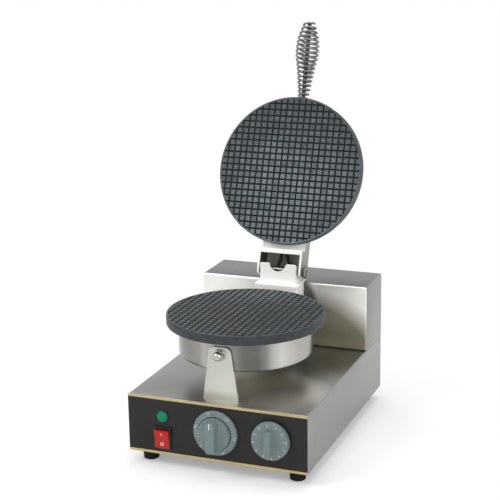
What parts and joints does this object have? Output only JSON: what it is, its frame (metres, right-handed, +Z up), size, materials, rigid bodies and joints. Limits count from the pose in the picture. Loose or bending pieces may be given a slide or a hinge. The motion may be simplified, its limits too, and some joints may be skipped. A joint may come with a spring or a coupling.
{
  "type": "waffle-cone iron",
  "caption": "Counter-top electric cone iron: round gridded plates, hinged upper iron with coil handle, thermostat, timer and switch.",
  "frame": {"origin": "on the counter, below the middle of the machine's outline with the lid open", "axes": "+Z up; +X to the right across the front panel; the front panel faces -Y"},
  "size_m": [0.24, 0.4067, 0.5274],
  "materials": {
    "brushed_stainless": "fine brushed stainless sheet",
    "bright_stainless": "bright stainless plate",
    "front_panel": "charcoal printed panel with two brass-coloured stripes",
    "fasteners": "bright plated steel",
    "chromed_wire": "polished chromed wire",
    "cast_plate": "cast plate with dark non-stick coating",
    "rubber": "matt black rubber",
    "heater": "heat-stained steel",
    "mineral_wool": "pressed mineral wool",
    "lead_sleeve": "braided heat-proof sleeve",
    "knob_plastic": "blue-grey moulded plastic, white marks",
    "black_plastic": "black moulded plastic",
    "rocker_red": "translucent red plastic",
    "lamp_green": "green lens",
    "terminal_plastic": "pale moulded plastic",
    "brass": "plain brass"
  },
  "bodies": {
    "base": {"base_shell": "brushed_stainless", "bottom_cover": "brushed_stainless", "front_fascia": "front_panel", "rear_housing": "brushed_stainless", "rear_cover": "brushed_stainless", "cover_screws": "fasteners", "feet": "rubber", "foot_screws": "fasteners", "lower_plate": "cast_plate", "lower_shell": "brushed_stainless", "lower_heating_element": "heater", "lower_clamp_plate": "heater", "lower_wool_pad": "mineral_wool", "lower_standoffs": "fasteners", "front_support": "bright_stainless", "support_stud": "fasteners", "support_washer": "fasteners", "dome_nut": "fasteners", "lead_duct": "brushed_stainless", "lower_leads": "lead_sleeve", "hinge_plinth": "bright_stainless", "hinge_bracket": "bright_stainless", "hinge_pin": "fasteners", "hinge_nuts": "fasteners", "thermostat_dial": "knob_plastic", "thermostat_body": "black_plastic", "sensing_bulb": "brass", "timer_body": "black_plastic", "switch_frame": "black_plastic", "lamp_bezel": "black_plastic", "lamp_lens": "lamp_green", "terminal_block": "terminal_plastic", "cord_gland": "black_plastic", "earth_stud": "brass"},
    "lid": {"lid_yoke": "bright_stainless", "lid_block": "bright_stainless", "lid_leads": "lead_sleeve", "upper_plate": "cast_plate", "upper_shell": "brushed_stainless", "upper_heating_element": "heater", "upper_clamp_plate": "heater", "upper_wool_pad": "mineral_wool", "upper_standoffs": "fasteners", "handle_collar": "fasteners", "handle_rod": "chromed_wire", "handle_coil": "chromed_wire"},
    "thermostat": {"thermostat_knob": "knob_plastic", "thermostat_shaft": "fasteners"},
    "timer": {"timer_knob": "knob_plastic", "timer_shaft": "fasteners"},
    "rocker": {"switch_rocker": "rocker_red"}
  },
  "joints": [
    {"name": "lid_hinge", "type": "hinge", "parent": "base", "child": "lid", "pos_m": [0, 0.068, 0.1991], "axis": [1, 0, 0], "range_deg": [0, 110.4], "deforming": ["lid_leads"]},
    {"name": "thermostat_turn", "type": "hinge", "parent": "base", "child": "thermostat", "pos_m": [0, -0.176, 0.0555], "axis": [0, 1, 0], "range_deg": [0, 290]},
    {"name": "timer_turn", "type": "hinge", "parent": "base", "child": "timer", "pos_m": [0.0735, -0.176, 0.056], "axis": [0, 1, 0], "range_deg": [0, 300]},
    {"name": "rocker_tilt", "type": "hinge", "parent": "base", "child": "rocker", "pos_m": [-0.073, -0.173, 0.0382], "axis": [-1, 0, 0], "range_deg": [0, 14]}
  ]
}
